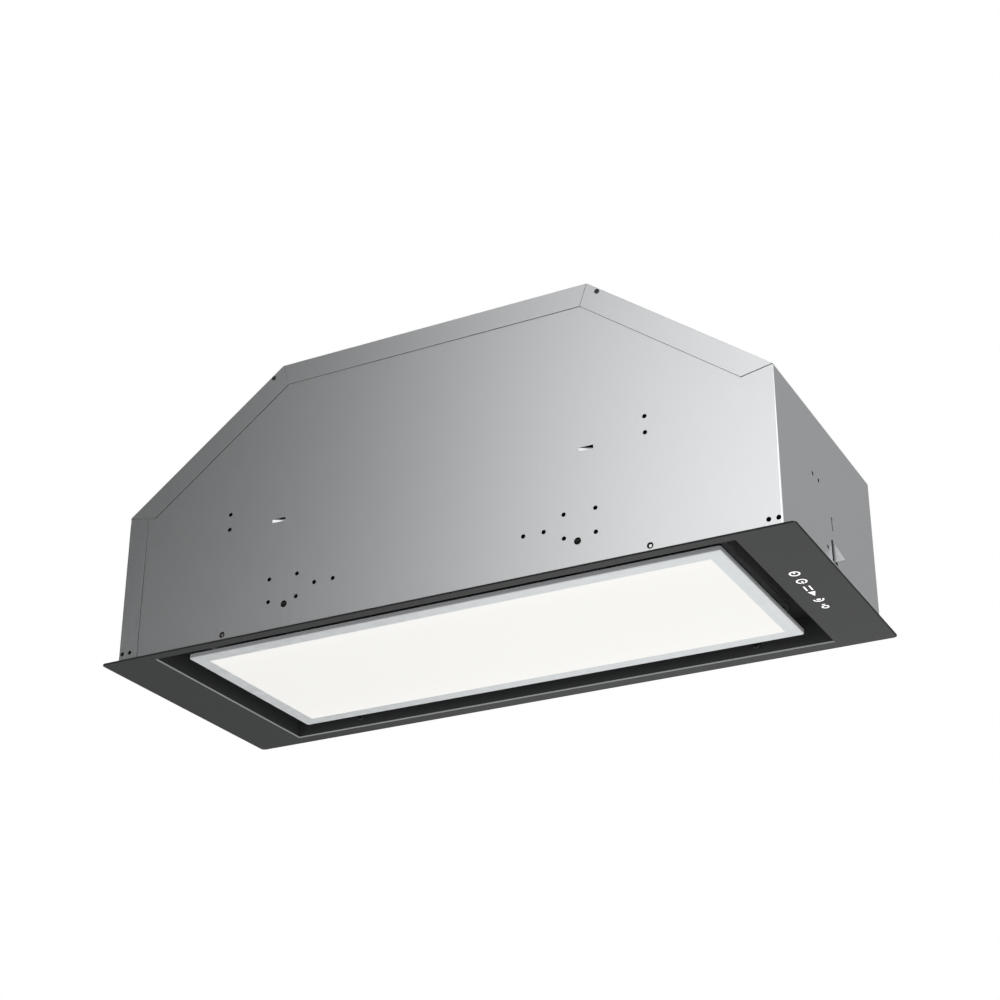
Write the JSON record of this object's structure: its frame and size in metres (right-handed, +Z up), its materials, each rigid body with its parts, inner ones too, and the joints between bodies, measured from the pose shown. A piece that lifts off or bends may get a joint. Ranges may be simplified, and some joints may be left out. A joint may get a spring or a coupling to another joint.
{
  "type": "range hood insert",
  "caption": "Built-in range hood insert: sheet casing with sloped shoulders, flat trim plate with touch symbols, hinged light panel over grease filters, blower and duct collar.",
  "frame": {"origin": "middle of the trim plate's underside", "axes": "+X to the right towards the touch symbols, +Y to the wall behind, +Z up to the duct"},
  "size_m": [0.7, 0.28, 0.3212],
  "materials": {
    "trim_paint": "matt anthracite powder coat",
    "casing_steel": "fine vertical brushing, satin",
    "inner_steel": "plain zinc-coated sheet",
    "black_steel": "matt black",
    "screw_steel": "zinc plated",
    "panel_metal": "satin, bright bevelled edge",
    "diffuser_white": "opal, lit from behind",
    "clear_acrylic": "clear",
    "led_board": "white board",
    "white_film": "matt white",
    "black_plastic": "fine texture",
    "grey_plastic": "fine texture",
    "glyph_white": "lit from behind",
    "board_green": "solder mask",
    "magnet": "ferrite",
    "filter_aluminium": "satin",
    "mesh_aluminium": "expanded mesh",
    "motor_metal": "laminated and cast",
    "bronze": "sintered bronze",
    "rubber": "matt",
    "capacitor_white": "smooth",
    "cable_grey": "smooth sheath"
  },
  "bodies": {
    "hood": {"trim_frame": "trim_paint", "corner_brackets": "inner_steel", "trim_screws": "black_steel", "lip_spacers": "screw_steel", "front_shell": "casing_steel", "rear_shell": "casing_steel", "roof_sheet": "casing_steel", "roof_rivets": "black_steel", "filter_shelf": "black_steel", "filter_rails": "black_steel", "hinge_pins": "screw_steel", "catch_brackets": "black_steel", "catch_magnets": "magnet", "touch_glyphs": "glyph_white", "touch_housing": "black_plastic", "touch_board": "board_green", "scroll_front": "grey_plastic", "scroll_rear": "grey_plastic", "scroll_screws": "screw_steel", "motor": "motor_metal", "motor_bearings": "bronze", "motor_bracket": "inner_steel", "motor_grommets": "rubber", "bracket_screws": "screw_steel", "duct_collar": "black_plastic", "flap_pins": "screw_steel", "collar_screws": "screw_steel", "control_box": "grey_plastic", "control_lid": "grey_plastic", "control_board": "board_green", "capacitor": "capacitor_white", "led_driver": "capacitor_white", "mains_gland": "black_plastic", "supply_lead": "cable_grey", "motor_lead": "cable_grey", "filter_frame_left": "filter_aluminium", "filter_frame_right": "filter_aluminium", "filter_mesh_left": "mesh_aluminium", "filter_mesh_right": "mesh_aluminium", "hinge_bracket_left": "black_steel", "hinge_bracket_right": "black_steel", "latch_spring_left": "screw_steel", "latch_spring_right": "screw_steel"},
    "latch_left": {"filter_latch_left": "black_plastic"},
    "latch_right": {"filter_latch_right": "black_plastic"},
    "light_panel": {"strike_plates": "screw_steel", "panel_frame": "panel_metal", "diffuser": "diffuser_white", "light_guide": "clear_acrylic", "led_strips": "led_board", "reflector": "white_film", "panel_tray": "black_steel", "panel_screws": "screw_steel", "hinge_ear_left": "black_steel", "hinge_ear_right": "black_steel"},
    "fan": {"impeller_rings": "grey_plastic", "impeller_blades": "grey_plastic", "motor_shaft": "screw_steel"},
    "flap_left": {"flap_left": "black_plastic"},
    "flap_right": {"flap_right": "black_plastic"}
  },
  "joints": [
    {"name": "panel_hinge", "type": "hinge", "parent": "hood", "child": "light_panel", "pos_m": [0, 0.104, 0.017], "axis": [1, 0, 0], "range_deg": [0, 90]},
    {"name": "fan_spin", "type": "hinge", "parent": "hood", "child": "fan", "pos_m": [-0.056, 0, 0.15074], "axis": [0, 1, 0], "continuous": true},
    {"name": "flap_left_hinge", "type": "hinge", "parent": "hood", "child": "flap_left", "pos_m": [-0.004, 0, 0.2982], "axis": [0, 1, 0], "range_deg": [0, 78]},
    {"name": "flap_right_hinge", "type": "hinge", "parent": "hood", "child": "flap_right", "pos_m": [0.004, 0, 0.2982], "axis": [0, -1, 0], "range_deg": [0, 78]},
    {"name": "latch_left_slide", "type": "slide", "parent": "hood", "child": "latch_left", "axis": [0, 1, 0], "range_m": [0, 0.005], "stiffness_N_per_m": 400, "springref_m": -0.003, "deforming": ["latch_spring_left"]},
    {"name": "latch_right_slide", "type": "slide", "parent": "hood", "child": "latch_right", "axis": [0, 1, 0], "range_m": [0, 0.005], "stiffness_N_per_m": 400, "springref_m": -0.003, "deforming": ["latch_spring_right"]}
  ]
}
